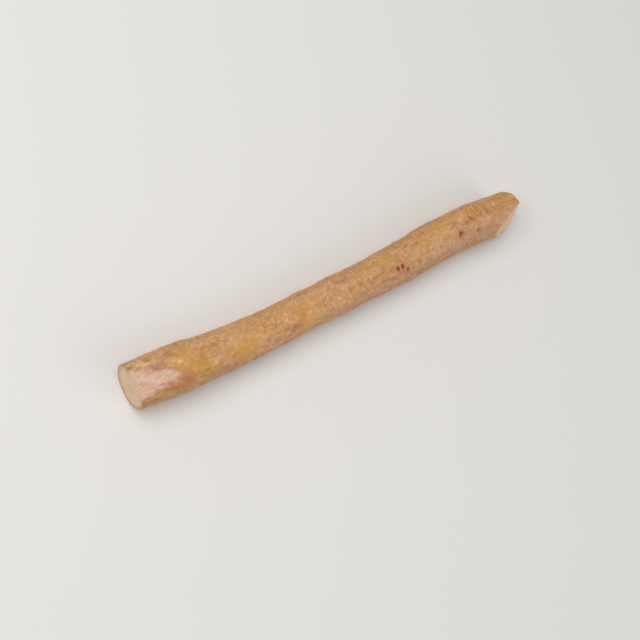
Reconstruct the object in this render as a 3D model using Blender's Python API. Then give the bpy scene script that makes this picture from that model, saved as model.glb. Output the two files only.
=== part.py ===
# Miswak stick: a short length of root with its bark on, cut at both ends and lying on its side.
# Metres. +X runs from the broad butt to the tip, +Y is across the stick and +Z is up.
# The origin is under the middle of the stick, on the surface that it rests on.

import math

import bmesh
import bpy
from mathutils import Vector, noise

# Length over both cut ends
STICK_LENGTH = 0.152

# Radius of the stick at places along it, from 0 at the butt to 1 at the tip
RADIUS_STATIONS = (
    (0.00, 0.00730),
    (0.09, 0.00785),
    (0.22, 0.00695),
    (0.38, 0.00645),
    (0.55, 0.00660),
    (0.70, 0.00690),
    (0.86, 0.00725),
    (1.00, 0.00715),
)

# Sideways bend of the middle line, in an S that the two ends leave at zero
SWAY_STATIONS = (
    (0.00, 0.0000),
    (0.14, -0.0011),
    (0.28, -0.0020),
    (0.42, -0.0014),
    (0.66, -0.0004),
    (0.84, 0.0013),
    (1.00, 0.0000),
)

# Gap under the stick where it arches clear of the surface between its two resting places
ARCH_STATIONS = (
    (0.00, 0.00035),
    (0.15, 0.00000),
    (0.46, 0.00065),
    (0.78, 0.00000),
    (1.00, 0.00045),
)

# How far the lowest lumps are worn flat where the stick rests
REST_WEAR = 0.00030

# Lobes of the section, which is never quite round: how many go round the stick, how far they
# twist from butt to tip and where they start, in radians, and their height
SECTION_LOBES = (
    {"count": 2, "twist": 2.6, "start": 0.7, "height": 0.00024},
    {"count": 3, "twist": -5.0, "start": 0.0, "height": 0.00017},
)

# Unevenness of the bark: long furrows, slow swells and cross wrinkles. Each has a height and how
# often it changes along the stick's length and across its radius.
BARK_LAYERS = (
    {"height": 0.00030, "along": 6.5, "across": 3.1, "start": 0.0},
    {"height": 0.00032, "along": 15.0, "across": 0.8, "start": 7.0},
    {"height": 0.00013, "along": 44.0, "across": 1.6, "start": 31.0},
)

# Root scars: place along the stick, degrees round it from +Y over the top, how many times wider
# round the stick than along it, radius and height of the raised collar, radius and depth of the pit
ROOT_SCARS = (
    {"place": 0.832, "turn": 104, "wide": 1.0,
     "collar": 0.0027, "height": 0.00048, "pit": 0.00085, "depth": 0.00085},
    {"place": 0.877, "turn": 114, "wide": 1.0,
     "collar": 0.0017, "height": 0.00020, "pit": 0.00060, "depth": 0.00035},
    {"place": 0.667, "turn": 104, "wide": 1.5,
     "collar": 0.0021, "height": 0.00034, "pit": 0.00060, "depth": 0.00070},
    {"place": 0.654, "turn": 104, "wide": 1.6,
     "collar": 0.0015, "height": 0.00018, "pit": 0.00056, "depth": 0.00065},
    {"place": 0.679, "turn": 119, "wide": 1.4,
     "collar": 0.0014, "height": 0.00015, "pit": 0.00054, "depth": 0.00055},
    {"place": 0.871, "turn": 74, "wide": 2.6,
     "collar": 0.0012, "height": 0.00018, "pit": 0.00048, "depth": 0.00045},
    {"place": 0.914, "turn": 77, "wide": 2.2,
     "collar": 0.0011, "height": 0.00014, "pit": 0.00040, "depth": 0.00035},
    {"place": 0.430, "turn": 330, "wide": 1.3,
     "collar": 0.0031, "height": 0.00070, "pit": 0.00100, "depth": 0.00100},
    {"place": 0.300, "turn": 205, "wide": 1.2,
     "collar": 0.0028, "height": 0.00060, "pit": 0.00098, "depth": 0.00100},
    {"place": 0.640, "turn": 318, "wide": 1.4,
     "collar": 0.0023, "height": 0.00045, "pit": 0.00080, "depth": 0.00085},
)
COLLAR_FALL = 1.4
PIT_STEEPNESS = 4

# Knife strokes that took the bark off the top of the butt: degrees round the stick, how deep the
# blade went in at the cut end, and how far along the stick it ran out
BUTT_STROKES = (
    {"turn": 65, "depth": 0.00120, "run": 0.0120},
    {"turn": 96, "depth": 0.00110, "run": 0.0158},
    {"turn": 116, "depth": 0.00042, "run": 0.0070},
)

# Cut planes at the ends. The tip has a nearly square cut and a long slanting stroke on its -Y side.
BUTT_NORMAL = (-1.0, 0.03, 0.02)
TIP_NORMAL = (1.0, 0.06, -0.05)
SLANT_NORMAL = (1.0, -2.5, 1.07)
SLANT_START = 0.0102

# Bark round each cut end, and how far the wood inside it has shrunk back
BARK_THICKNESS = 0.0011
WOOD_SHRINK = 0.00018

# Fineness of the surface
SIDES = 42
RINGS = 92
SPARE_END = 0.004
SCAR_REACH = 1.05
RIM_MERGE = 0.00016
MERGE_GAP = 1e-5
SMOOTH_ANGLE = 32

BARK_COLOUR = (0.58, 0.31, 0.12, 1.0)
BARK_ROUGHNESS = 0.72


def slope_at(stations, index):
    before = stations[max(index - 1, 0)]
    after = stations[min(index + 1, len(stations) - 1)]
    return (after[1] - before[1]) / (after[0] - before[0])


def follow(stations, place):
    """Value at a place on the smooth curve through the stations."""
    index = 0
    while index < len(stations) - 2 and place > stations[index + 1][0]:
        index += 1
    start, value = stations[index]
    end, next_value = stations[index + 1]
    span = end - start
    part = min(max((place - start) / span, 0.0), 1.0)
    bend = slope_at(stations, index) * span
    next_bend = slope_at(stations, index + 1) * span
    cubic = 2 * (value - next_value) + bend + next_bend
    square = 3 * (next_value - value) - 2 * bend - next_bend
    return ((cubic * part + square) * part + bend) * part + value


def bark_relief(place, turn):
    """Height of the bark over the plain round section, without the root scars."""
    total = 0.0
    for lobe in SECTION_LOBES:
        total += lobe["height"] * math.cos(lobe["count"] * turn + lobe["twist"] * place + lobe["start"])
    for layer in BARK_LAYERS:
        along = place * layer["along"] + layer["start"]
        across = math.cos(turn) * layer["across"]
        upward = math.sin(turn) * layer["across"]
        total += layer["height"] * noise.noise(Vector((along, across, upward)))
    return total


def scar_distance(scar, place, turn):
    """Distance over the surface from a root scar's middle, measured in its own oval."""
    along = (place - scar["place"]) * STICK_LENGTH
    swing = math.remainder(turn - math.radians(scar["turn"]), math.tau)
    around = swing * follow(RADIUS_STATIONS, place)
    return math.hypot(along, around / scar["wide"])


def scar_relief(place, turn):
    """Raised collars and pits of the root scars."""
    total = 0.0
    for scar in ROOT_SCARS:
        distance = scar_distance(scar, place, turn)
        total += scar["height"] * math.exp(-COLLAR_FALL * (distance / scar["collar"]) ** 2)
        total -= scar["depth"] * math.exp(-((distance / scar["pit"]) ** PIT_STEEPNESS))
    return total


def middle_line(place):
    """Centre of the stick's section, with its underside near z = 0."""
    height = follow(RADIUS_STATIONS, place) + follow(ARCH_STATIONS, place)
    return Vector(((place - 0.5) * STICK_LENGTH, follow(SWAY_STATIONS, place), height))


def surface_point(place, turn):
    radius = follow(RADIUS_STATIONS, place) + bark_relief(place, turn) + scar_relief(place, turn)
    return middle_line(place) + Vector((0.0, math.cos(turn) * radius, math.sin(turn) * radius))


def plain_tube():
    """Closed round tube: x is the place along the stick, y and z give the turn round it."""
    tube = bmesh.new()
    bmesh.ops.create_cone(tube, cap_ends=True, segments=SIDES, radius1=1.0, radius2=1.0, depth=1.0)
    long_edges = [edge for edge in tube.edges if abs(edge.verts[0].co.z - edge.verts[1].co.z) > 0.5]
    bmesh.ops.subdivide_edges(tube, edges=long_edges, cuts=RINGS - 1, use_grid_fill=True)
    spare = SPARE_END / STICK_LENGTH
    for vert in tube.verts:
        across, upward, along = vert.co
        place = (along + 0.5) * (1 + 2 * spare) - spare
        vert.co = Vector((place, across, upward))
    return tube


def refine_at_scars(tube):
    """More faces where the root scars are."""
    near = set()
    for face in tube.faces:
        middle = face.calc_center_median()
        turn = math.atan2(middle.z, middle.y)
        for scar in ROOT_SCARS:
            if scar_distance(scar, middle.x, turn) < scar["collar"] * SCAR_REACH:
                near.update(face.edges)
    edges = sorted(near, key=lambda edge: edge.index)
    bmesh.ops.subdivide_edges(tube, edges=edges, cuts=1, use_grid_fill=True)


def cut_away(mesh, point, normal):
    """Cut off all that lies beyond a plane and close the cut."""
    everything = mesh.verts[:] + mesh.edges[:] + mesh.faces[:]
    cut = bmesh.ops.bisect_plane(
        mesh,
        geom=everything,
        dist=1e-6,
        plane_co=point,
        plane_no=normal,
        clear_outer=True,
    )
    rim = [item for item in cut["geom_cut"] if isinstance(item, bmesh.types.BMVert)]
    bmesh.ops.remove_doubles(mesh, verts=rim, dist=RIM_MERGE)
    open_edges = [edge for edge in mesh.edges if edge.is_boundary]
    return bmesh.ops.holes_fill(mesh, edges=open_edges, sides=0)["faces"]


def cut_butt_strokes(mesh):
    for stroke in BUTT_STROKES:
        turn = math.radians(stroke["turn"])
        outward = Vector((0.0, math.cos(turn), math.sin(turn)))
        run_out = stroke["run"] / STICK_LENGTH
        start = middle_line(0.0) + outward * (follow(RADIUS_STATIONS, 0.0) - stroke["depth"])
        end = middle_line(run_out) + outward * follow(RADIUS_STATIONS, run_out)
        sideways = outward.cross(Vector((1.0, 0.0, 0.0)))
        normal = sideways.cross(start - end).normalized()
        if normal.dot(outward) < 0:
            normal.negate()
        cut_away(mesh, start, normal)


def show_bark_ring(mesh, cut_faces):
    """Step between the bark and the wood on a cut end."""
    bmesh.ops.inset_region(
        mesh,
        faces=cut_faces,
        thickness=BARK_THICKNESS,
        depth=-WOOD_SHRINK,
        use_boundary=True,
        use_even_offset=True,
    )


def cut_ends(mesh):
    half = STICK_LENGTH / 2
    butt_faces = cut_away(mesh, middle_line(0.0), Vector(BUTT_NORMAL).normalized())
    cut_away(mesh, Vector((half, 0.0, middle_line(1.0).z)), Vector(TIP_NORMAL).normalized())
    side = middle_line(1.0 - SLANT_START / STICK_LENGTH)
    side.y -= follow(RADIUS_STATIONS, 1.0)
    cut_away(mesh, side, Vector(SLANT_NORMAL).normalized())
    big_faces = [face for face in mesh.faces if len(face.verts) > 8]
    tip_faces = [face for face in big_faces if face.calc_center_median().x > 0]
    show_bark_ring(mesh, butt_faces)
    show_bark_ring(mesh, tip_faces)


def wear_underside(mesh):
    """Small level flats on the lowest lumps, all at one height."""
    lowest = min(vert.co.z for vert in mesh.verts)
    cut_away(mesh, Vector((0.0, 0.0, lowest + REST_WEAR)), Vector((0.0, 0.0, -1.0)))


def stand_on_origin(mesh):
    """Middle of the stick's box over the origin, with the flats at z = 0."""
    corners = [[vert.co[axis] for vert in mesh.verts] for axis in range(3)]
    shift = Vector((
        -(min(corners[0]) + max(corners[0])) / 2,
        -(min(corners[1]) + max(corners[1])) / 2,
        -min(corners[2]),
    ))
    bmesh.ops.translate(mesh, verts=mesh.verts, vec=shift)


def bark_material():
    material = bpy.data.materials.new("root_bark")
    material.use_nodes = True
    shader = material.node_tree.nodes["Principled BSDF"]
    shader.inputs["Base Color"].default_value = BARK_COLOUR
    shader.inputs["Roughness"].default_value = BARK_ROUGHNESS
    shader.inputs["Metallic"].default_value = 0.0
    material.diffuse_color = BARK_COLOUR
    return material


def make_stick():
    stick = plain_tube()
    refine_at_scars(stick)
    for vert in stick.verts:
        vert.co = surface_point(vert.co.x, math.atan2(vert.co.z, vert.co.y))
    cut_butt_strokes(stick)
    cut_ends(stick)
    wear_underside(stick)
    stand_on_origin(stick)
    bmesh.ops.remove_doubles(stick, verts=stick.verts, dist=MERGE_GAP)
    bmesh.ops.dissolve_degenerate(stick, edges=stick.edges, dist=MERGE_GAP)
    bmesh.ops.triangulate(stick, faces=stick.faces, quad_method="BEAUTY", ngon_method="BEAUTY")
    bmesh.ops.recalc_face_normals(stick, faces=stick.faces)
    mesh = bpy.data.meshes.new("stick")
    stick.to_mesh(mesh)
    stick.free()
    mesh.shade_smooth()
    mesh.set_sharp_from_angle(angle=math.radians(SMOOTH_ANGLE))
    mesh.materials.append(bark_material())
    item = bpy.data.objects.new("stick", mesh)
    bpy.context.scene.collection.objects.link(item)
    return item


for old in list(bpy.data.objects):
    bpy.data.objects.remove(old, do_unlink=True)
make_stick()
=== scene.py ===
import math
import random

import bmesh
import bpy
from mathutils import Matrix, Vector, kdtree, noise


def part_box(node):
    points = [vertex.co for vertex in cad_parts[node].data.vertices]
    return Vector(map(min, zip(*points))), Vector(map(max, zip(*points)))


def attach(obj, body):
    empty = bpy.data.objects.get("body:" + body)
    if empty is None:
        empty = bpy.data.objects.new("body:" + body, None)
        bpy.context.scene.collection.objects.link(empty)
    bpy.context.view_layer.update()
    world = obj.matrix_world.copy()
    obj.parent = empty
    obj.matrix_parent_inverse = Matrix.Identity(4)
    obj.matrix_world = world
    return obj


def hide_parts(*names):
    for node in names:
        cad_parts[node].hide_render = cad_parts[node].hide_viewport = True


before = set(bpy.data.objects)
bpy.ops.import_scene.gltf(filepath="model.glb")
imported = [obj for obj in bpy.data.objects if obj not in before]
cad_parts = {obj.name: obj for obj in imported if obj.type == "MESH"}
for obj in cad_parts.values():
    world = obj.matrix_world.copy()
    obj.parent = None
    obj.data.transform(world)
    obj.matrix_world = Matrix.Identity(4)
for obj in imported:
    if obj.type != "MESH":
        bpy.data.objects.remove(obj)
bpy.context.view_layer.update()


# The stick's form in metres, as the solid has it. Places run from 0 at the butt to 1 at the tip, and
# turns are degrees from +Y over the top.
stickForm = {
    "length": 0.152,
    "radius": (
        (0.00, 0.00730), (0.09, 0.00785), (0.22, 0.00695), (0.38, 0.00645),
        (0.55, 0.00660), (0.70, 0.00690), (0.86, 0.00725), (1.00, 0.00715),
    ),
    "sway": (
        (0.00, 0.0000), (0.14, -0.0011), (0.28, -0.0020), (0.42, -0.0014),
        (0.66, -0.0004), (0.84, 0.0013), (1.00, 0.0000),
    ),
    "arch": ((0.00, 0.00035), (0.15, 0.00000), (0.46, 0.00065), (0.78, 0.00000), (1.00, 0.00045)),
    "wear": 0.00030,  # what the lowest lumps have lost
    "lobes": (
        {"count": 2, "twist": 2.6, "start": 0.7, "height": 0.00024},
        {"count": 3, "twist": -5.0, "start": 0.0, "height": 0.00017},
    ),
    "layers": (
        {"height": 0.00030, "along": 6.5, "across": 3.1, "start": 0.0},
        {"height": 0.00032, "along": 15.0, "across": 0.8, "start": 7.0},
        {"height": 0.00013, "along": 44.0, "across": 1.6, "start": 31.0},
    ),
    "scars": (
        {"place": 0.832, "turn": 104, "wide": 1.0,
         "collar": 0.0027, "height": 0.00048, "pit": 0.00085, "depth": 0.00085},
        {"place": 0.877, "turn": 114, "wide": 1.0,
         "collar": 0.0017, "height": 0.00020, "pit": 0.00060, "depth": 0.00035},
        {"place": 0.667, "turn": 104, "wide": 1.5,
         "collar": 0.0021, "height": 0.00034, "pit": 0.00060, "depth": 0.00070},
        {"place": 0.654, "turn": 104, "wide": 1.6,
         "collar": 0.0015, "height": 0.00018, "pit": 0.00056, "depth": 0.00065},
        {"place": 0.679, "turn": 119, "wide": 1.4,
         "collar": 0.0014, "height": 0.00015, "pit": 0.00054, "depth": 0.00055},
        {"place": 0.871, "turn": 74, "wide": 2.6,
         "collar": 0.0012, "height": 0.00018, "pit": 0.00048, "depth": 0.00045},
        {"place": 0.914, "turn": 77, "wide": 2.2,
         "collar": 0.0011, "height": 0.00014, "pit": 0.00040, "depth": 0.00035},
        {"place": 0.430, "turn": 330, "wide": 1.3,
         "collar": 0.0031, "height": 0.00070, "pit": 0.00100, "depth": 0.00100},
        {"place": 0.300, "turn": 205, "wide": 1.2,
         "collar": 0.0028, "height": 0.00060, "pit": 0.00098, "depth": 0.00100},
        {"place": 0.640, "turn": 318, "wide": 1.4,
         "collar": 0.0023, "height": 0.00045, "pit": 0.00080, "depth": 0.00085},
    ),
    # pits are painted darker the deeper they are, up to this depth: partly the scars' own dark tissue,
    # partly painted shade
    "darkDepth": 0.00058,  # a pit this deep is as dark as they get
    "strokes": (  # of the knife at the butt: depth at the cut end, and how far they run out
        {"turn": 65, "depth": 0.00120, "run": 0.0120},
        {"turn": 96, "depth": 0.00110, "run": 0.0158},
        {"turn": 116, "depth": 0.00042, "run": 0.0070},
        {"turn": 36, "depth": 0.00016, "run": 0.0080},  # too shallow for the solid
    ),
    "shavedDepth": 0.00088,  # deepest layer that they show: the wood stays covered
    "buttNormal": (-1.0, 0.03, 0.02),
    "tipNormal": (1.0, 0.06, -0.05),
    "slantNormal": (1.0, -2.5, 1.07),
    "slantStart": 0.0102,  # before the tip, on the -Y side
    "sides": 150,  # finer than the solid, and so are the rings
    "rings": (16, 34),  # the tube is split in two rounds
    "spare": 0.004,  # grown past each cut
    "rimMerge": 0.00005,
    "sharpAngle": 55,
}


def stationSlope(stations, index):
    # slope at a station, from its neighbours
    before = stations[max(index - 1, 0)]
    after = stations[min(index + 1, len(stations) - 1)]
    return (after[1] - before[1]) / (after[0] - before[0])


def stationValue(stations, place):
    # smooth curve through the stations
    index = 0
    while index < len(stations) - 2 and place > stations[index + 1][0]:
        index += 1
    start, value = stations[index]
    end, nextValue = stations[index + 1]
    span = end - start
    part = min(max((place - start) / span, 0.0), 1.0)
    bend = stationSlope(stations, index) * span
    nextBend = stationSlope(stations, index + 1) * span
    cubic = 2 * (value - nextValue) + bend + nextBend
    square = 3 * (nextValue - value) - 2 * bend - nextBend
    return ((cubic * part + square) * part + bend) * part + value


def middleLine(place):
    height = stationValue(stickForm["radius"], place) + stationValue(stickForm["arch"], place)
    return Vector(((place - 0.5) * stickForm["length"], stationValue(stickForm["sway"], place), height))


def grownRadius(place, turn):
    # the root before any scar or cut, with its lobes and three layers of lumps
    total = stationValue(stickForm["radius"], place)
    for lobe in stickForm["lobes"]:
        total += lobe["height"] * math.cos(lobe["count"] * turn + lobe["twist"] * place + lobe["start"])
    for layer in stickForm["layers"]:
        along = place * layer["along"] + layer["start"]
        across = math.cos(turn) * layer["across"]
        upward = math.sin(turn) * layer["across"]
        total += layer["height"] * noise.noise(Vector((along, across, upward)))
    return total


def smooth(low, high, value):
    # 0 below the low value, 1 above the high one
    part = min(max((value - low) / (high - low), 0.0), 1.0)
    return part * part * (3 - 2 * part)


def bell(value, width):
    return math.exp(-((value / width) ** 2))


def surfaceDistance(spot, place, turn, radius):
    # distances along and round the stick from a spot given by place and turn
    along = (place - spot["place"]) * stickForm["length"]
    around = math.remainder(turn - math.radians(spot["turn"]), math.tau) * radius
    return along, around


# Fine skin of the bark. Heights in metres, scales in changes per metre along the stick and across it.
# A film of cork covers more of the -Y side towards the tip. Gates say where furrows and cracks are.
barkSkin = {
    "film": {
        "height": 0.000085, "scale": (150, 250), "start": 3.0, "fractal": (0.7, 2.1, 4),
        "edge": (-0.04, 0.03), "lip": 0.000045, "lipWidth": 0.035, "from": 0.55, "bias": 0.16,
    },
    "furrow": {
        "depth": 0.000130, "scale": (40, 330), "start": 17.0, "width": 0.060,
        "gate": {"scale": (60, 150), "start": 51.0, "range": (-0.10, 0.35)},
    },
    "crack": {
        "depth": 0.000110, "scale": (560, 90), "start": 29.0, "width": 0.080,
        "gate": {"scale": (90, 170), "start": 77.0, "range": (0.05, 0.35)},
    },
    "wrinkle": {"height": 0.000055, "scale": (90, 620), "start": 41.0},
    "grit": {"height": 0.000050, "scale": (1150, 1150), "start": 0.0},
}

# Shape that all the scars share, in multiples of a scar's own collar or pit
scarShape = {
    "reach": 3.0,  # in collars
    "fall": 1.4,
    "steep": 4,
    "ragged": 0.30,
    "raggedScale": 1.9,
    "differ": 40,
    "ringRadius": 1.3,  # of the stained ring, in pits
    "ringWidth": 0.55,
    "bareSkin": 1.5,  # how soon the fine skin ends in a pit
}

# The knife's strokes: how the bark is torn along its fibres, and the steps of the blade
knifeMarks = {
    "facing": 0.2,  # what is turned further away from a stroke isn't cut by it
    "fibre": {"height": 0.000060, "scale": (110, 24), "start": 0.0, "fractal": (0.8, 2.2, 2)},
    "step": {"height": 0.000035, "scale": (420, 4), "start": 5.0},
}

# Blotches in the colour, with how ragged their edges are. Each has its place, its turn, half its
# length along the stick and half its width round it.
stainEdge = {"scale": 700, "differ": 50, "ragged": 0.45}
barkStains = {
    "redStain": (
        {"place": 0.661, "turn": 109, "along": 0.0021, "around": 0.0017},
        {"place": 0.671, "turn": 120, "along": 0.0010, "around": 0.0012},
        {"place": 0.300, "turn": 200, "along": 0.0020, "around": 0.0022},
    ),
    "rustStain": (
        {"place": 0.055, "turn": 129, "along": 0.0014, "around": 0.0012},
        {"place": 0.066, "turn": 119, "along": 0.0016, "around": 0.0010},
        {"place": 0.078, "turn": 131, "along": 0.0034, "around": 0.0017},
        {"place": 0.036, "turn": 124, "along": 0.0014, "around": 0.0006},
        {"place": 0.051, "turn": 114, "along": 0.0014, "around": 0.0006},
        {"place": 0.104, "turn": 122, "along": 0.0036, "around": 0.0022},
        {"place": 0.105, "turn": 88, "along": 0.0006, "around": 0.0006},
        {"place": 0.380, "turn": 118, "along": 0.0028, "around": 0.0020},
        {"place": 0.520, "turn": 60, "along": 0.0026, "around": 0.0016},
        {"place": 0.740, "turn": 230, "along": 0.0036, "around": 0.0024},
        {"place": 0.832, "turn": 105, "along": 0.0012, "around": 0.0013},
        {"place": 0.871, "turn": 74, "along": 0.0007, "around": 0.0020},
        {"place": 0.914, "turn": 77, "along": 0.0006, "around": 0.0015},
        {"place": 0.877, "turn": 114, "along": 0.0008, "around": 0.0008},
    ),
    "goldStain": (
        {"place": 0.130, "turn": 92, "along": 0.0050, "around": 0.0050},
        {"place": 0.112, "turn": 78, "along": 0.0030, "around": 0.0024},
        {"place": 0.250, "turn": 112, "along": 0.0044, "around": 0.0034},
        {"place": 0.408, "turn": 122, "along": 0.0042, "around": 0.0028},
        {"place": 0.630, "turn": 66, "along": 0.0038, "around": 0.0026},
        {"place": 0.790, "turn": 62, "along": 0.0036, "around": 0.0028},
        {"place": 0.480, "turn": 250, "along": 0.0066, "around": 0.0050},
    ),
    "oliveStain": (
        {"place": 0.008, "turn": 40, "along": 0.0016, "around": 0.0006},
        {"place": 0.020, "turn": 50, "along": 0.0018, "around": 0.0006},
        {"place": 0.048, "turn": 39, "along": 0.0012, "around": 0.0008},
        {"place": 0.060, "turn": 70, "along": 0.0018, "around": 0.0009},
        {"place": 0.092, "turn": 42, "along": 0.0015, "around": 0.0008},
        {"place": 0.097, "turn": 52, "along": 0.0014, "around": 0.0007},
        {"place": 0.855, "turn": 84, "along": 0.0004, "around": 0.0011},
        {"place": 0.878, "turn": 88, "along": 0.0004, "around": 0.0009},
        {"place": 0.926, "turn": 70, "along": 0.0004, "around": 0.0016},
        {"place": 0.560, "turn": 200, "along": 0.0040, "around": 0.0018},
    ),
    "paleStain": (
        {"place": 0.022, "turn": 43, "along": 0.0018, "around": 0.0006},
        {"place": 0.037, "turn": 48, "along": 0.0022, "around": 0.0006},
        {"place": 0.095, "turn": 69, "along": 0.0012, "around": 0.0005},
        {"place": 0.103, "turn": 77, "along": 0.0010, "around": 0.0005},
        {"place": 0.350, "turn": 280, "along": 0.0040, "around": 0.0012},
    ),
    "duskStain": (
        {"place": 0.068, "turn": 62, "along": 0.0030, "around": 0.0020},
        {"place": 0.150, "turn": 94, "along": 0.0036, "around": 0.0036},
        {"place": 0.640, "turn": 84, "along": 0.0042, "around": 0.0030},
        {"place": 0.885, "turn": 123, "along": 0.0050, "around": 0.0030},
        {"place": 0.200, "turn": 148, "along": 0.0060, "around": 0.0022},
        {"place": 0.560, "turn": 40, "along": 0.0050, "around": 0.0020},
        {"place": 0.150, "turn": 260, "along": 0.0070, "around": 0.0040},
        {"place": 0.700, "turn": 20, "along": 0.0060, "around": 0.0030},
        {"place": 0.820, "turn": 290, "along": 0.0060, "around": 0.0040},
    ),
    "chalkStain": (
        {"place": 0.800, "turn": 138, "along": 0.0080, "around": 0.0034},
        {"place": 0.800, "turn": 66, "along": 0.0050, "around": 0.0024},
        {"place": 0.260, "turn": 42, "along": 0.0060, "around": 0.0024},
        {"place": 0.480, "turn": 160, "along": 0.0070, "around": 0.0030},
        {"place": 0.220, "turn": 240, "along": 0.0080, "around": 0.0036},
        {"place": 0.600, "turn": 275, "along": 0.0060, "around": 0.0040},
        {"place": 0.900, "turn": 350, "along": 0.0060, "around": 0.0030},
    ),
}


def patternAt(layer, along, across, upward):
    # where a point lies in the noise of a layer
    onLength, onSection = layer["scale"]
    return Vector((along * onLength + layer["start"], across * onSection, upward * onSection))


def fineLine(layer, spot):
    # how deep a point is in a furrow or a crack: both follow a line where noise passes through nought
    deep = bell(noise.noise(patternAt(layer, *spot)), layer["width"])
    return deep * smooth(*layer["gate"]["range"], noise.noise(patternAt(layer["gate"], *spot)))


def skinRelief(place, turn, radius):
    # height of the fine skin, how sure the film of cork is there, and how deep in a line a point is
    spot = (place * stickForm["length"], math.cos(turn) * radius, math.sin(turn) * radius)
    film = barkSkin["film"]
    cover = noise.fractal(patternAt(film, *spot), *film["fractal"])
    cover += (place - film["from"]) * film["bias"] * (1 - math.cos(turn))
    lip = film["lip"] * bell(cover - film["edge"][1], film["lipWidth"])
    height = film["height"] * (smooth(*film["edge"], cover) - 0.5) + lip
    for name in ("wrinkle", "grit"):
        height += barkSkin[name]["height"] * noise.noise(patternAt(barkSkin[name], *spot))
    furrow = fineLine(barkSkin["furrow"], spot)
    crack = fineLine(barkSkin["crack"], spot)
    height -= barkSkin["furrow"]["depth"] * furrow + barkSkin["crack"]["depth"] * crack
    return height, cover, max(furrow, crack)


def scarRelief(place, turn, radius):
    # height of the root scars, how deep a point is in a pit and how near to a pit's rim
    shape = scarShape
    height = 0.0
    pit = 0.0
    ring = 0.0
    for scar in stickForm["scars"]:
        along, around = surfaceDistance(scar, place, turn, radius)
        around /= scar["wide"]
        distance = math.hypot(along, around)
        if distance > shape["reach"] * scar["collar"]:
            continue
        heading = math.atan2(around, along)
        across, upward = math.cos(heading) * shape["raggedScale"], math.sin(heading) * shape["raggedScale"]
        ragged = noise.noise(Vector((across, upward, scar["place"] * shape["differ"])))
        reach = distance * (1 + shape["ragged"] * ragged)
        inPit = math.exp(-((reach / scar["pit"]) ** shape["steep"]))
        height += scar["height"] * math.exp(-shape["fall"] * (distance / scar["collar"]) ** 2)
        height -= scar["depth"] * inPit
        # deeper pits are painted darker: partly the scar's own dark tissue, partly painted shade
        dark = min(scar["depth"] / stickForm["darkDepth"], 1.0)
        pit = max(pit, inPit * dark)
        onRing = bell(reach - shape["ringRadius"] * scar["pit"], shape["ringWidth"] * scar["pit"])
        ring = max(ring, onRing * dark)
    return height, pit, ring


def stainAmount(stains, place, turn, radius):
    # 1 in the middle of a blotch of this kind, 0 well away from all of them
    amount = 0.0
    scale = stainEdge["scale"]
    for stain in stains:
        along, around = surfaceDistance(stain, place, turn, radius)
        ragged = noise.noise(Vector((along * scale, around * scale, stain["place"] * stainEdge["differ"])))
        reach = math.hypot(along / stain["along"], around / stain["around"])
        amount = max(amount, bell(reach * (1 + stainEdge["ragged"] * ragged), 1.0))
    return amount


def strokePlanes():
    # one plane for each stroke, from its depth at the butt's end out to the bark's surface
    planes = []
    for stroke in stickForm["strokes"]:
        turn = math.radians(stroke["turn"])
        outward = Vector((0.0, math.cos(turn), math.sin(turn)))
        runOut = stroke["run"] / stickForm["length"]
        start = middleLine(0.0) + outward * (stationValue(stickForm["radius"], 0.0) - stroke["depth"])
        end = middleLine(runOut) + outward * stationValue(stickForm["radius"], runOut)
        normal = outward.cross(Vector((1.0, 0.0, 0.0))).cross(start - end).normalized()
        if normal.dot(outward) < 0:
            normal.negate()
        planes.append((start, normal))
    return planes


def knifeRadius(planes, place, turn, radius):
    # radius that the knife strokes leave, with torn fibres and the small steps of the blade
    middle = middleLine(place)
    outward = Vector((0.0, math.cos(turn), math.sin(turn)))
    kept = radius
    for start, normal in planes:
        facing = normal.dot(outward)
        if facing > knifeMarks["facing"]:
            kept = min(kept, normal.dot(start - middle) / facing)
    if kept < radius:
        spot = (place * stickForm["length"], outward.y, outward.z)
        fibre, step = knifeMarks["fibre"], knifeMarks["step"]
        torn = noise.fractal(patternAt(fibre, *spot), *fibre["fractal"])
        stepped = noise.noise(patternAt(step, *spot))
        kept = min(kept + fibre["height"] * torn + step["height"] * stepped, radius)
    return kept


def growTube():
    form = stickForm
    mesh = bmesh.new()
    bmesh.ops.create_cone(mesh, cap_ends=True, segments=form["sides"], radius1=1.0, radius2=1.0, depth=1.0)
    for cuts in form["rings"]:
        # the edges round a ring are level
        longEdges = [edge for edge in mesh.edges if abs(edge.verts[0].co.z - edge.verts[1].co.z) > 1e-4]
        bmesh.ops.subdivide_edges(mesh, edges=longEdges, cuts=cuts - 1, use_grid_fill=True)
    return mesh


def layBark(mesh, layers):
    planes = strokePlanes()
    spare = stickForm["spare"] / stickForm["length"]
    for vert in mesh.verts:
        across, upward, along = vert.co
        place = (along + 0.5) * (1 + 2 * spare) - spare
        turn = math.atan2(upward, across)
        plain = grownRadius(place, turn)
        skin, cover, furrow = skinRelief(place, turn, plain)
        scarHeight, pit, ring = scarRelief(place, turn, plain)
        radius = plain + skin * (1 - min(pit * scarShape["bareSkin"], 1.0)) + scarHeight
        kept = knifeRadius(planes, place, turn, radius)
        vert[layers["cutDepth"]] = min(radius - kept, stickForm["shavedDepth"]) * 1000  # in millimetres
        vert[layers["film"]] = cover
        vert[layers["furrow"]] = furrow
        vert[layers["pit"]] = pit
        vert[layers["scarRing"]] = ring
        for name, stains in barkStains.items():
            vert[layers[name]] = stainAmount(stains, place, turn, plain)
        vert.co = middleLine(place) + Vector((0.0, math.cos(turn) * kept, math.sin(turn) * kept))


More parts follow.
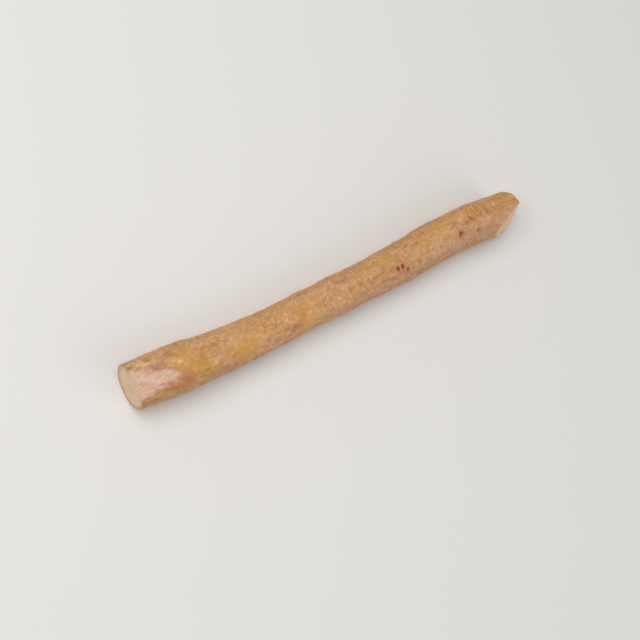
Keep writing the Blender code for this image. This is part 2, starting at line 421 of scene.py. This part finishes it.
# Breathing pores, each a mound that lies across the stick with a slit in it, and pinholes between them.
# Widths are halves round the stick and heights halves along it, in metres.
barkPores = {
    "lenticels": 260,
    "lenticelWidth": (0.0006, 0.0015),
    "lenticelHeight": (0.00032, 0.00050),
    "lenticelRise": (0.00010, 0.00024),
    "slitWidth": 0.75,  # shares of the mound's width, height and rise
    "slitHeight": 0.42,
    "slitDepth": 0.9,
    "pinholes": 110,
    "pinholeWidth": (0.00030, 0.00048),
    "pinholeHeight": 0.9,  # share of its width
    "pinholeDepth": (0.00012, 0.00024),
    "pinholeShade": 0.55,
    "reach": 2.2,  # in half widths
    "seed": 11,
}


def moundAt(along, around, halfHeight, halfWidth):
    # 1 in the middle of a rounded mound
    return math.exp(-((along / halfHeight) ** 2) - (around / halfWidth) ** 2)


def growPores(mesh, layers):
    pores = barkPores
    chance = random.Random(pores["seed"])
    verts = list(mesh.verts)
    finder = kdtree.KDTree(len(verts))
    for index, vert in enumerate(verts):
        finder.insert(vert.co, index)
    finder.balance()
    moves = {}
    for number in range(pores["lenticels"] + pores["pinholes"]):
        place = chance.uniform(0.0, 1.0)
        turn = chance.uniform(-math.pi, math.pi)
        outward = Vector((0.0, math.cos(turn), math.sin(turn)))
        spot = middleLine(place) + outward * grownRadius(place, turn)
        around = Vector((1.0, 0.0, 0.0)).cross(outward)
        isPinhole = number >= pores["lenticels"]
        if isPinhole:
            halfWidth = chance.uniform(*pores["pinholeWidth"])
            halfHeight = halfWidth * pores["pinholeHeight"]
            raised = -chance.uniform(*pores["pinholeDepth"])
        else:
            halfWidth = chance.uniform(*pores["lenticelWidth"])
            halfHeight = chance.uniform(*pores["lenticelHeight"])
            raised = chance.uniform(*pores["lenticelRise"])
        for _, index, _ in finder.find_range(spot, halfWidth * pores["reach"]):
            vert = verts[index]
            if vert[layers["cutDepth"]] > 0:
                continue
            away = vert.co - spot
            sideways = away.dot(around)
            mound = moundAt(away.x, sideways, halfHeight, halfWidth)
            slit = 0.0
            if isPinhole:
                vert[layers["pit"]] = max(vert[layers["pit"]], pores["pinholeShade"] * mound)
            else:
                slitHeight, slitWidth = pores["slitHeight"] * halfHeight, pores["slitWidth"] * halfWidth
                slit = pores["slitDepth"] * moundAt(away.x, sideways, slitHeight, slitWidth)
                vert[layers["lenticel"]] = max(vert[layers["lenticel"]], mound)
                # the slit is painted dark with the furrows: partly its own colour, partly painted shade
                vert[layers["furrow"]] = max(vert[layers["furrow"]], slit)
            moves[index] = moves.get(index, 0.0) + raised * (mound - slit)
    for index, height in moves.items():
        vert = verts[index]
        outward = vert.co - middleLine(vert.co.x / stickForm["length"] + 0.5)
        outward.x = 0.0
        vert.co += outward.normalized() * height


# Cut ends, in metres: the wood has shrunk back from its rim of bark, with a groove between them, and
# shows torn fibres and the marks of a blade
cutEnd = {
    "rings": 30,
    "spacing": 1.35,
    "barkThickness": 0.0011,
    "woodFrom": (0.9, 1.2),  # in thicknesses of the bark
    "woodShrink": 0.00014,
    "grooveDepth": 0.00009,
    "grooveWidth": 0.00014,
    "tear": {"height": 0.00009, "scale": (300, 1300), "start": 0.0, "fractal": (0.8, 2.0, 3)},
    "blade": {"height": 0.000025, "lines": 5200, "waver": 2, "waverScale": 500},
    "furrowLeft": 0.3,
    "longEdge": 0.0012,  # the ridge between the two cuts at the tip is longer, and is split
    "edgeSteps": 30,
    "fewestSides": 12,  # only a cut end's face has more
}


def cutAway(mesh, point, normal):
    # saw off what is past the plane, and close the end with one face
    cut = bmesh.ops.bisect_plane(
        mesh, geom=mesh.verts[:] + mesh.edges[:] + mesh.faces[:], dist=1e-7,
        plane_co=point, plane_no=normal, clear_outer=True,
    )
    rim = [item for item in cut["geom_cut"] if isinstance(item, bmesh.types.BMVert)]
    bmesh.ops.remove_doubles(mesh, verts=rim, dist=stickForm["rimMerge"])
    crowded = {edge for edge in mesh.edges if len(edge.link_faces) > 2}
    flaps = [  # slivers at the rim that the merge has folded flat
        face for face in mesh.faces
        if crowded.intersection(face.edges) and sum(edge.is_boundary for edge in face.edges) > 1
    ]
    bmesh.ops.delete(mesh, geom=flaps, context="FACES")
    openEdges = [edge for edge in mesh.edges if edge.is_boundary]
    bmesh.ops.holes_fill(mesh, edges=openEdges, sides=0)


def ringCap(mesh, cap):
    # rings of faces on a cut end, closer together near the bark
    middle = cap.calc_center_median()
    before = 1.0
    for ring in range(1, cutEnd["rings"]):
        fraction = 1 - (ring / cutEnd["rings"]) ** cutEnd["spacing"]
        bmesh.ops.inset_individual(mesh, faces=[cap], thickness=0.0, depth=0.0)
        scale = fraction / before
        bmesh.ops.scale(mesh, vec=(scale, scale, scale), space=Matrix.Translation(-middle), verts=cap.verts)
        before = fraction
    bmesh.ops.pointmerge(mesh, verts=cap.verts, merge_co=middle)


def roughenCap(verts, normal, depthLayer):
    tear, blade = cutEnd["tear"], cutEnd["blade"]
    bark = cutEnd["barkThickness"]
    woodLow, woodHigh = cutEnd["woodFrom"]
    sideways = normal.cross(Vector((0.0, 0.3, 1.0))).normalized()
    for vert in verts:
        depth = vert[depthLayer] * 0.001
        groove = bell(depth - bark, cutEnd["grooveWidth"])
        inWood = smooth(woodLow * bark, woodHigh * bark, depth)
        torn = noise.fractal(patternAt(tear, *vert.co), *tear["fractal"])
        waver = blade["waver"] * noise.noise(vert.co * blade["waverScale"])
        lines = math.sin(vert.co.dot(sideways) * blade["lines"] + waver)
        height = tear["height"] * torn + blade["height"] * lines * inWood
        height -= cutEnd["grooveDepth"] * groove + cutEnd["woodShrink"] * inWood
        vert.co += normal * height


def cutEnds(mesh, layers):
    # the nearly square cuts at the butt and the tip, then the slanting one on the -Y side of the tip
    form = stickForm
    tip = Vector((form["length"] / 2, 0.0, middleLine(1.0).z))
    side = middleLine(1.0 - form["slantStart"] / form["length"])
    side.y -= stationValue(form["radius"], 1.0)
    for point, normal in (
        (middleLine(0.0), form["buttNormal"]), (tip, form["tipNormal"]), (side, form["slantNormal"]),
    ):
        cutAway(mesh, point, Vector(normal).normalized())
    longEdges = [edge for edge in mesh.edges if edge.calc_length() > cutEnd["longEdge"]]
    bmesh.ops.bisect_edges(mesh, edges=longEdges, cuts=cutEnd["edgeSteps"])
    for cap in [face for face in mesh.faces if len(face.verts) > cutEnd["fewestSides"]]:
        normal = cap.normal.copy()
        known = set(mesh.verts)
        rim = list(cap.verts)
        ringCap(mesh, cap)
        inner = [vert for vert in mesh.verts if vert not in known]
        for vert in inner + rim:
            place = vert.co.x / form["length"] + 0.5
            away = vert.co - middleLine(place)
            turn = math.atan2(away.z, away.y)
            plain = grownRadius(place, turn)
            depth = plain + skinRelief(place, turn, plain)[0] - math.hypot(away.y, away.z)
            vert[layers["cutDepth"]] = max(depth, 0.0) * 1000
            vert[layers["furrow"]] *= cutEnd["furrowLeft"]
        roughenCap(inner, normal, layers["cutDepth"])


def settle(mesh):
    # flats under the lowest lumps, and the stick's box where the frame has it
    lowest = min(vert.co.z for vert in mesh.verts)
    for vert in mesh.verts:
        vert.co.z = max(vert.co.z, lowest + stickForm["wear"])
    low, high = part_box("stick")
    shift = Vector()
    for axis in range(3):
        spread = [vert.co[axis] for vert in mesh.verts]
        shift[axis] = (low[axis] + high[axis] - min(spread) - max(spread)) / 2
        if axis == 2:
            shift[axis] = low[axis] - min(spread)
    bmesh.ops.translate(mesh, verts=mesh.verts, vec=shift)
    return shift


def addPiece(name, mesh, material):
    data = bpy.data.meshes.new(name)
    mesh.to_mesh(data)
    mesh.free()
    data.shade_smooth()
    data.materials.append(material)
    piece = bpy.data.objects.new(name, data)
    bpy.context.scene.collection.objects.link(piece)
    return piece


def makeStick():
    mesh = growTube()
    names = ("cutDepth", "film", "furrow", "pit", "scarRing", "lenticel", *barkStains)
    layers = {name: mesh.verts.layers.float.new(name) for name in names}
    layBark(mesh, layers)
    print("stick: bark laid on the root")
    growPores(mesh, layers)
    cutEnds(mesh, layers)
    print("stick: ends cut")
    shift = settle(mesh)
    bmesh.ops.recalc_face_normals(mesh, faces=mesh.faces)
    stick = addPiece("miswakStick", mesh, stickFinish())
    stick.data.set_sharp_from_angle(angle=math.radians(stickForm["sharpAngle"]))
    return stick, shift


# Finishes. A wire is one value on its way through a finish, so that maths on it reads as plain maths.
class Wire:
    def __init__(self, finish, socket):
        self.finish = finish
        self.socket = socket

    def maths(self, operation, first, second):
        return self.finish.add("ShaderNodeMath", {"operation": operation}, {0: first, 1: second})

    def __add__(self, other):
        return self.maths("ADD", self, other)

    def __radd__(self, other):
        return self.maths("ADD", other, self)

    def __sub__(self, other):
        return self.maths("SUBTRACT", self, other)

    def __rsub__(self, other):
        return self.maths("SUBTRACT", other, self)

    def __mul__(self, other):
        return self.maths("MULTIPLY", self, other)

    def __rmul__(self, other):
        return self.maths("MULTIPLY", other, self)


class Finish:
    def __init__(self, name):
        self.material = bpy.data.materials.new(name)
        self.material.use_nodes = True
        self.tree = self.material.node_tree
        self.shader = self.tree.nodes["Principled BSDF"]
        self.object = self.add("ShaderNodeTexCoord", {}, {}, 3)

    def add(self, kind, settings, sockets, outlet=0):
        made = self.tree.nodes.new(kind)
        for key, setting in settings.items():
            setattr(made, key, setting)
        for key, item in sockets.items():
            self.feed(made.inputs[key], item)
        return Wire(self, made.outputs[outlet])

    def feed(self, socket, item):
        if isinstance(item, Wire):
            self.tree.links.new(item.socket, socket)
        else:
            socket.default_value = item

    def coordinate(self, axis):
        # place along X, Y or Z, which are 0, 1 and 2
        return self.add("ShaderNodeSeparateXYZ", {}, {0: self.object}, axis)

    def mapped(self, scale, start=(0.0, 0.0, 0.0)):
        return self.add("ShaderNodeMapping", {}, {"Vector": self.object, "Scale": scale, "Location": start})

    def vector(self, operation, first, second=(0.0, 0.0, 0.0), outlet=0):
        return self.add("ShaderNodeVectorMath", {"operation": operation}, {0: first, 1: second}, outlet)

    def fanned(self, pith, around, along, deep):
        # pattern space whose lines run outwards from a pith at this height
        away = self.vector("SUBTRACT", self.object, (0.0, 0.0, pith))
        away = self.vector("MULTIPLY", away, (0.0, 1.0, 1.0))
        shifted = self.coordinate(0) * along + self.vector("LENGTH", away, outlet=1) * deep
        along = self.add("ShaderNodeCombineXYZ", {}, {0: shifted})
        spread = self.vector("MULTIPLY", self.vector("NORMALIZE", away), (around, around, around))
        return self.vector("ADD", spread, along)

    def noiseAt(self, where, detail, rough):
        sockets = {"Vector": where, "Scale": 1.0, "Detail": detail, "Roughness": rough}
        return self.add("ShaderNodeTexNoise", {}, sockets)

    def noise(self, scale, detail, rough, start=(0.0, 0.0, 0.0)):
        return self.noiseAt(self.mapped(scale, start), detail, rough)

    def cells(self, where):
        sockets = {"Vector": where, "Scale": 1.0, "Randomness": 1.0}
        return self.add("ShaderNodeTexVoronoi", {"feature": "F1"}, sockets)

    def step(self, value, low, high, strength=None):
        # rises smoothly between the two values, to 1 or to the strength
        sockets = {"Value": value, "From Min": low, "From Max": high}
        mask = self.add("ShaderNodeMapRange", {"interpolation_type": "SMOOTHSTEP"}, sockets)
        return mask if strength is None else mask * strength

    def mix(self, factor, first, second):
        return self.add("ShaderNodeMix", {"data_type": "RGBA"}, {0: factor, 6: first, 7: second}, 2)

    def attribute(self, name):
        return self.add("ShaderNodeAttribute", {"attribute_name": name}, {}, 2)

    def bump(self, height, strength, distance):
        sockets = {"Height": height, "Strength": strength, "Distance": distance}
        return self.add("ShaderNodeBump", {}, sockets)

    def wear(self, colour, rough, specular, normal=None):
        self.feed(self.shader.inputs["Base Color"], colour)
        self.feed(self.shader.inputs["Roughness"], rough)
        self.shader.inputs["Specular IOR Level"].default_value = specular
        if normal is not None:
            self.feed(self.shader.inputs["Normal"], normal)
        return self.material


def tone(red, green, blue):
    # a colour as a screen shows it, 0 to 255, turned into light values
    levels = [level / 255 for level in (red, green, blue)]
    linear = [level / 12.92 if level <= 0.04045 else ((level + 0.055) / 1.055) ** 2.4 for level in levels]
    return (*linear, 1.0)


rootTones = {
    "tan": tone(197, 145, 96),
    "amber": tone(201, 144, 82),
    "gold": tone(220, 172, 102),
    "rust": tone(172, 112, 68),
    "film": tone(201, 152, 108),
    "filmPale": tone(215, 174, 132),
    "filmSpeck": tone(166, 112, 74),
    # darker pink tone of the -Y side: partly the bark's own colour, partly painted shade
    "pinkShadedSide": tone(184, 136, 110),
    "pinkPale": tone(208, 160, 130),
    # tone of furrows, cracks and slits, partly the bark's own colour there and partly painted shade; the
    # dark specks use it too
    "furrow": tone(140, 92, 58),
    "lenticel": tone(222, 184, 140),
    "scar": tone(166, 110, 76),
    "pit": tone(136, 92, 68),
    "redPit": tone(106, 48, 34),
    "redStain": tone(210, 120, 96),
    "rustStain": tone(174, 108, 66),
    "goldStain": tone(205, 151, 54),
    "oliveStain": tone(156, 116, 76),
    "paleStain": tone(236, 200, 144),
    "duskStain": tone(152, 112, 76),
    "chalkStain": tone(212, 172, 142),
    "cortex": tone(186, 130, 92),
    "innerBark": tone(208, 165, 140),
    "paleBark": tone(220, 188, 168),
    "cambium": tone(206, 170, 134),
    "wood": tone(235, 206, 174),
    "woodShade": tone(221, 187, 152),
    # paler, warmer copy of the wood for the tip's shaded cuts: painted light
    "litTipWood": tone(253, 208, 158),
    "island": tone(204, 162, 122),
    "pore": tone(160, 122, 84),
}

# Patterns in the bark: changes per metre along X, Y and Z, detail, roughness and where each one starts
barkGrain = {
    "slow": ((60, 110, 110), 2.0, 0.50),
    "dabs": ((330, 430, 430), 4.0, 0.62, (3.0, 0.0, 0.0)),
    "flecks": ((680, 800, 800), 3.0, 0.60, (9.0, 2.0, 0.0)),
    "specks": ((1500, 1700, 1700), 2.0, 0.60, (1.0, 7.0, 0.0)),
    "dust": ((3200, 3200, 3200), 2.0, 0.60),
    "threads": ((190, 2600, 2600), 2.0, 0.50),
    "fibres": ((120, 2300, 2300), 3.0, 0.60, (0.0, 5.0, 1.0)),
}

# Where each tone starts to show in its pattern, where it is full, and how strong it is there if not 1
barkSteps = {
    "amber": (0.38, 0.62),
    "rust": (0.50, 0.66, 0.60),
    "gold": (0.53, 0.64, 0.70),
    "filmPale": (0.44, 0.60),
    "filmSpeck": (0.55, 0.66, 0.55),
    "film": (-0.05, 0.03, 0.62),
    "thread": (0.52, 0.72, 0.20),
    "darkSpeck": (0.60, 0.70, 0.32),
    "pinkPale": (0.40, 0.62),
    "paleBark": (0.42, 0.62),
    "cortexDab": (0.50, 0.70, 0.50),
    "stain": (0.28, 0.56),
    "pit": (0.08, 0.95),
    "redPit": (0.0, 0.5),
}

# The same for what shows on the cuts, by its depth under the bark's surface in millimetres. The wood on the
# tip's cuts, which lie in shade, is painted paler and warmer from this far along X, in metres: painted
# light.
cutSteps = {
    "cut": (0.0, 0.06),
    "cortex": (0.0, 0.08),
    "innerBark": (0.06, 0.40),
    "cambium": (0.96, 1.08, 0.75),
    "wood": (1.06, 1.20),
    "tipLight": (0.0, 0.10, 0.60),
    "tipLightFrom": (0.056, 0.060),
}

# The -Y side of the bark, away from the key light, is painted pinker and duller, more so near the tip:
# partly the bark's own tone, partly painted shade. Both weights are for a metre.
pinkShadedSide = {
    "sideways": 60, "onLength": 4.5, "uneven": 0.5, "range": (0.22, 0.66), "onBark": 0.50, "onFlakes": 0.40,
}

# How strong each mark is
markStrength = {
    "lenticel": 0.55, "furrow": 0.38, "scarRing": 0.45, "pit": 0.92, "island": 0.45, "vessel": 0.60,
}
stainStrength = {
    "duskStain": 0.32, "chalkStain": 0.30, "goldStain": 0.62, "paleStain": 0.95,
    "oliveStain": 0.85, "rustStain": 0.75, "redStain": 0.72,
}


def pinkAndShade(finish, uneven, strength):
    # mask of the -Y side, painted pinker and duller: partly the bark's own tone, partly painted shade
    side = pinkShadedSide["uneven"] * uneven - pinkShadedSide["sideways"] * finish.coordinate(1)
    return finish.step(side + pinkShadedSide["onLength"] * finish.coordinate(0), *pinkShadedSide["range"], strength)


def barkColour(finish, flecks, specks, dabs):
    # bark under the film, the film of cork on it, and the side that is painted pinker: partly its own tone,
    # partly painted shade
    paint, steps = rootTones, barkSteps
    slow = finish.noise(*barkGrain["slow"])
    threads = finish.noise(*barkGrain["threads"])
    under = finish.mix(finish.step(slow, *steps["amber"]), paint["tan"], paint["amber"])
    under = finish.mix(finish.step(dabs, *steps["rust"]), under, paint["rust"])
    under = finish.mix(finish.step(flecks, *steps["gold"]), under, paint["gold"])
    film = finish.mix(finish.step(flecks, *steps["filmPale"]), paint["film"], paint["filmPale"])
    film = finish.mix(finish.step(specks, *steps["filmSpeck"]), film, paint["filmSpeck"])
    edge = finish.attribute("film") + 0.30 * (flecks - 0.5) + 0.22 * (specks - 0.5)
    bark = finish.mix(finish.step(edge, *steps["film"]), under, film)
    bark = finish.mix(finish.step(threads, *steps["thread"]), bark, paint["rust"])
    bark = finish.mix(finish.step(specks, *steps["darkSpeck"]), bark, paint["furrow"])
    pink = finish.mix(finish.step(flecks, *steps["pinkPale"]), paint["pinkShadedSide"], paint["pinkPale"])
    return finish.mix(pinkAndShade(finish, slow, pinkShadedSide["onBark"]), bark, pink)


# Patterns of the wood, in changes per metre, and their steps as the bark's are given. What fans out
# from the pith has a number round it, one along the stick and one outwards.
woodGrain = {
    "pith": 0.0073,  # its height
    "rays": (26.0, 200.0, 110.0),
    "bands": (1.2, 60.0, 1000.0),
    "islands": (9.0, 260.0, 1500.0),
    "vessels": (300, 2700, 2700),
}
woodSteps = {
    "ray": (0.40, 0.64, 0.8),
    "band": (0.48, 0.62, 0.35),
    "island": (0.14, 0.36),
    "vessel": (0.08, 0.22),
    "vesselRay": (0.40, 0.54),
}


def woodColour(finish):
    # rays, growth bands, scattered islands of softer tissue and fine vessels
    paint, steps, grain = rootTones, woodSteps, woodGrain
    rays = finish.noiseAt(finish.fanned(grain["pith"], *grain["rays"]), 2.0, 0.5)
    bands = finish.noiseAt(finish.fanned(grain["pith"], *grain["bands"]), 1.0, 0.5)
    islands = finish.cells(finish.fanned(grain["pith"], *grain["islands"]))
    islands = 1 - finish.step(islands, *steps["island"])
    vessels = 1 - finish.step(finish.cells(finish.mapped(grain["vessels"])), *steps["vessel"])
    vessels = vessels * finish.step(rays, *steps["vesselRay"])
    wood = finish.mix(finish.step(rays, *steps["ray"]), paint["wood"], paint["woodShade"])
    wood = finish.mix(finish.step(bands, *steps["band"]), wood, paint["woodShade"])
    wood = finish.mix(islands * markStrength["island"], wood, paint["island"])
    return finish.mix(vessels * markStrength["vessel"], wood, paint["pore"]), islands + vessels


def stickFinish():
    finish = Finish("rootBarkAndWood")
    paint, steps = rootTones, barkSteps
    depth = finish.attribute("cutDepth")
    furrow = finish.attribute("furrow")
    lenticel = finish.attribute("lenticel")
    dabs, flecks, specks, dust, fibres = [
        finish.noise(*barkGrain[name]) for name in ("dabs", "flecks", "specks", "dust", "fibres")
    ]

    bark = barkColour(finish, flecks, specks, dabs)
    bark = finish.mix(lenticel * markStrength["lenticel"], bark, paint["lenticel"])
    # furrows, cracks and pore slits are painted in the dark furrow tone: partly the bark's own colour
    # there, partly painted shade
    bark = finish.mix(furrow * markStrength["furrow"], bark, paint["furrow"])
    bark = finish.mix(finish.attribute("scarRing") * markStrength["scarRing"], bark, paint["scar"])

    # under the bark's surface: cortex, then inner bark where the knife has bared it
    inner = finish.mix(finish.step(fibres, *steps["paleBark"]), paint["innerBark"], paint["paleBark"])
    inner = finish.mix(finish.step(dabs, *steps["cortexDab"]), inner, paint["cortex"])
    bared = finish.step(depth + 0.50 * (flecks - 0.5) + 0.50 * (dabs - 0.5), *cutSteps["innerBark"])
    isCut = finish.step(depth, *cutSteps["cut"])
    section = finish.mix(finish.step(depth, *cutSteps["cortex"]), bark, paint["cortex"])
    section = finish.mix(bared * isCut, section, inner)

    inWood = finish.step(depth, *cutSteps["wood"])
    for name, strength in stainStrength.items():
        stained = finish.attribute(name) * finish.step(dabs, *steps["stain"]) * strength * (1 - inWood)
        section = finish.mix(stained, section, paint[name])
    # dark pits, redder inside red stains: partly the scars' own colour, partly painted shade in the hollows
    redness = finish.step(finish.attribute("redStain"), *steps["redPit"])
    darkPit = finish.mix(redness, paint["pit"], paint["redPit"])
    pit = finish.step(finish.attribute("pit"), *steps["pit"])
    section = finish.mix(pit * markStrength["pit"], section, darkPit)

    # the wood, painted paler and warmer on the tip's cuts, which lie in shade: painted light
    wood, soft = woodColour(finish)
    section = finish.mix(finish.step(depth, *cutSteps["cambium"]), section, paint["cambium"])
    section = finish.mix(inWood, section, wood)
    atTip = finish.step(finish.coordinate(0), *cutSteps["tipLightFrom"])
    section = finish.mix(atTip * finish.step(depth, *cutSteps["tipLight"]), section, paint["litTipWood"])

    rough = 0.62 + 0.14 * dabs - 0.06 * lenticel
    height = (1 - isCut) * (0.5 * flecks + 0.5 * specks + 0.3 * dust)
    height = height + isCut * (0.8 * fibres - 0.25 * soft * inWood)
    return finish.wear(section, rough, 0.35, finish.bump(height, 0.7, 0.00030))


# Flakes of cork that have come half off the bark: one end is still under the surface. Lengths in
# metres, turns and headings in radians.
corkFlakes = {
    "count": 110,
    "place": (0.13, 0.93),
    "turn": (-0.9, 4.0),
    "length": (0.0010, 0.0028),
    "width": (0.0007, 0.0017),
    "lift": (0.00008, 0.00020),
    "heading": (-0.7, 0.7),
    "rooted": 0.00006,
    "thickness": 0.000035,
    "roundOff": (0.50, 0.42, 0.05),  # at the ends and at the sides, and the least that is left
    "ragged": {"by": 0.6, "scale": 2.3, "differ": 90},
    "sharpAngle": 40,
    "seed": 23,
}


def flakeSkin(place, turn):
    # radius of the bark with its fine skin and its scars
    plain = grownRadius(place, turn)
    return plain + skinRelief(place, turn, plain)[0] + scarRelief(place, turn, plain)[0]


def makeFlakes(shift):
    chance = random.Random(corkFlakes["seed"])
    torn = corkFlakes["ragged"]
    ends, sides, least = corkFlakes["roundOff"]
    mesh = bmesh.new()
    for _ in range(corkFlakes["count"]):
        place, turn, length, width, lift, heading = [
            chance.uniform(*corkFlakes[name])
            for name in ("place", "turn", "length", "width", "lift", "heading")
        ]
        freeEnd = chance.choice((-1, 1))
        plain = grownRadius(place, turn)
        sheet = bmesh.ops.create_grid(mesh, x_segments=6, y_segments=4, size=0.5)["verts"]
        for vert in sheet:
            alongFlake, acrossFlake = vert.co.x * 2, vert.co.y * 2
            spot = Vector((alongFlake * torn["scale"], acrossFlake * torn["scale"], place * torn["differ"]))
            rounded = math.sqrt(max(1 - ends * alongFlake ** 2 - sides * acrossFlake ** 2, least))
            rounded *= 1 + torn["by"] * noise.noise(spot)
            x = alongFlake * length / 2 * rounded
            y = acrossFlake * width / 2 * rounded
            onLength = x * math.cos(heading) - y * math.sin(heading)
            onRound = x * math.sin(heading) + y * math.cos(heading)
            spotPlace = place + onLength / stickForm["length"]
            spotTurn = turn + onRound / plain
            free = (freeEnd * alongFlake + 1) / 2
            rooted = corkFlakes["rooted"] * (1 + abs(acrossFlake)) * (1 - free)
            radius = flakeSkin(spotPlace, spotTurn) + (lift * free ** 2 - rooted)
            outward = Vector((0.0, math.cos(spotTurn), math.sin(spotTurn)))
            vert.co = middleLine(spotPlace) + outward * radius + shift
        faces = list(dict.fromkeys(face for vert in sheet for face in vert.link_faces))
        raised = bmesh.ops.extrude_face_region(mesh, geom=faces, use_keep_orig=True)["geom"]
        outward = Vector((0.0, math.cos(turn), math.sin(turn)))
        top = [item for item in raised if isinstance(item, bmesh.types.BMVert)]
        bmesh.ops.translate(mesh, verts=top, vec=outward * corkFlakes["thickness"])
    bmesh.ops.recalc_face_normals(mesh, faces=mesh.faces)
    flakes = addPiece("corkFlakes", mesh, flakeFinish())
    flakes.data.set_sharp_from_angle(angle=math.radians(corkFlakes["sharpAngle"]))
    return flakes


def flakeFinish():
    finish = Finish("corkFlake")
    paint = rootTones
    dabs = finish.noise((500, 600, 600), 3.0, 0.6)
    specks = finish.noise((1900, 2100, 2100), 2.0, 0.6)
    colour = finish.mix(finish.step(dabs, 0.38, 0.62), paint["film"], paint["filmPale"])
    colour = finish.mix(finish.step(specks, 0.54, 0.66, 0.5), colour, paint["filmSpeck"])
    # the -Y side is painted pinker: partly the cork's own tone, partly painted shade
    colour = finish.mix(pinkAndShade(finish, dabs, pinkShadedSide["onFlakes"]), colour, paint["pinkShadedSide"])
    normal = finish.bump(0.6 * specks + 0.4 * dabs, 0.5, 0.0002)
    return finish.wear(colour, 0.66 + 0.12 * dabs, 0.3, normal)


# Short broken fibres that stand on the cut ends, in metres
cutFibres = {
    "count": 420,
    "length": (0.00018, 0.00070),
    "shorter": (0.5, 1.0),
    "radius": (0.000028, 0.000050),
    "taper": 0.35,
    "sides": 5,
    "lean": 0.35,
    "standing": 0.35,  # share of a fibre between its root and its middle
    "onEnds": 0.24,  # least X of the surface's normal where they grow
    "depths": (0.9, 7.2),  # millimetres under the bark's surface
    "seed": 5,
    "pale": tone(232, 212, 176),
    "dark": tone(206, 172, 128),
}


def makeFibres(stick):
    form = cutFibres
    chance = random.Random(form["seed"])
    depths = stick.data.attributes["cutDepth"].data
    shallow, deep = form["depths"]
    ends = [
        vertex for vertex in stick.data.vertices
        if abs(vertex.normal.x) > form["onEnds"] and shallow < depths[vertex.index].value < deep
    ]
    mesh = bmesh.new()
    for _ in range(form["count"]):
        root = chance.choice(ends)
        side = 1 if root.normal.x > 0 else -1
        length = chance.uniform(*form["length"]) * chance.uniform(*form["shorter"])
        radius = chance.uniform(*form["radius"])
        lean = Vector([chance.gauss(0.0, form["lean"]) for _ in range(3)])
        direction = (Vector((side, 0.0, 0.0)) + 0.5 * root.normal + lean).normalized()
        turned = direction.to_track_quat("Z", "Y").to_matrix().to_4x4()
        middle = Matrix.Translation(root.co + direction * length * form["standing"])
        bmesh.ops.create_cone(
            mesh, cap_ends=True, segments=form["sides"], radius1=radius, radius2=radius * form["taper"],
            depth=length, matrix=middle @ turned,
        )
    return addPiece("cutFibres", mesh, fibreFinish())


def fibreFinish():
    finish = Finish("cutFibre")
    along = finish.noise((400, 900, 900), 2.0, 0.5)
    grain = finish.noise((900, 6000, 6000), 2.0, 0.5)
    colour = finish.mix(finish.step(along, 0.35, 0.65), cutFibres["pale"], cutFibres["dark"])
    return finish.wear(colour, 0.7 + 0.1 * along, 0.3, finish.bump(grain, 0.3, 0.00005))


# Studio, in metres and degrees. The camera looks down on the stick from over its butt.
studio = {
    "floorSize": 3.0,
    "floorTone": tone(228, 226, 222),
    "floorShade": tone(214, 212, 208),
    "tilt": 25.0,
    "roll": 25.4,
    "distance": 0.569,
    "target": (-0.00725, -0.0059, 0.007),
    "lens": 98.1,
    "sensor": 36.0,
    "world": 0.40,
    "lights": (
        {"name": "overhead", "place": (-0.32, 0.22, 0.70), "size": 0.70, "power": 4.3},
        {"name": "fill", "place": (0.35, -0.60, 0.45), "size": 0.60, "power": 1.1},
    ),
}


def makeFloor():
    mesh = bmesh.new()
    bmesh.ops.create_grid(mesh, x_segments=1, y_segments=1, size=studio["floorSize"] / 2)
    finish = Finish("paleFloor")
    grain = finish.noise((40, 40, 40), 2.0, 0.5)
    colour = finish.mix(grain * 0.06, studio["floorTone"], studio["floorShade"])
    return addPiece("floor", mesh, finish.wear(colour, 0.85 + 0.05 * grain, 0.2))


def makeLights():
    for light in studio["lights"]:
        data = bpy.data.lights.new(light["name"], "AREA")
        data.shape = "DISK"
        data.size = light["size"]
        data.energy = light["power"]
        item = bpy.data.objects.new(light["name"], data)
        item.location = light["place"]
        item.rotation_euler = (-Vector(light["place"])).to_track_quat("-Z", "Y").to_euler()
        bpy.context.scene.collection.objects.link(item)
    world = bpy.data.worlds.new("softRoom")
    world.use_nodes = True
    background = world.node_tree.nodes["Background"]
    background.inputs["Color"].default_value = (1.0, 1.0, 1.0, 1.0)
    background.inputs["Strength"].default_value = studio["world"]
    bpy.context.scene.world = world


def makeCamera():
    tilt = math.radians(studio["tilt"])
    roll = math.radians(studio["roll"])
    toward = Vector((-math.sin(tilt), 0.0, math.cos(tilt)))
    along = Vector((math.cos(tilt), 0.0, math.sin(tilt)))
    across = Vector((0.0, 1.0, 0.0))
    right = math.cos(roll) * along - math.sin(roll) * across
    up = math.sin(roll) * along + math.cos(roll) * across
    data = bpy.data.cameras.new("camera")
    data.lens = studio["lens"]
    data.sensor_width = studio["sensor"]
    data.clip_start = 0.01
    item = bpy.data.objects.new("camera", data)
    place = Matrix((right, up, toward)).transposed().to_4x4()
    place.translation = Vector(studio["target"]) + toward * studio["distance"]
    item.matrix_world = place
    bpy.context.scene.collection.objects.link(item)
    bpy.context.scene.camera = item


makeCamera()
makeLights()
bpy.context.scene.view_settings.view_transform = "Standard"
makeFloor()
print("studio ready")

stick, shift = makeStick()
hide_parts("stick")
print("stick ready:", sum(len(face.vertices) - 2 for face in stick.data.polygons), "triangles")

flakes = makeFlakes(shift)
print("flakes ready")

fibres = makeFibres(stick)
print("fibres ready")

for piece in (stick, flakes, fibres):
    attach(piece, "root")
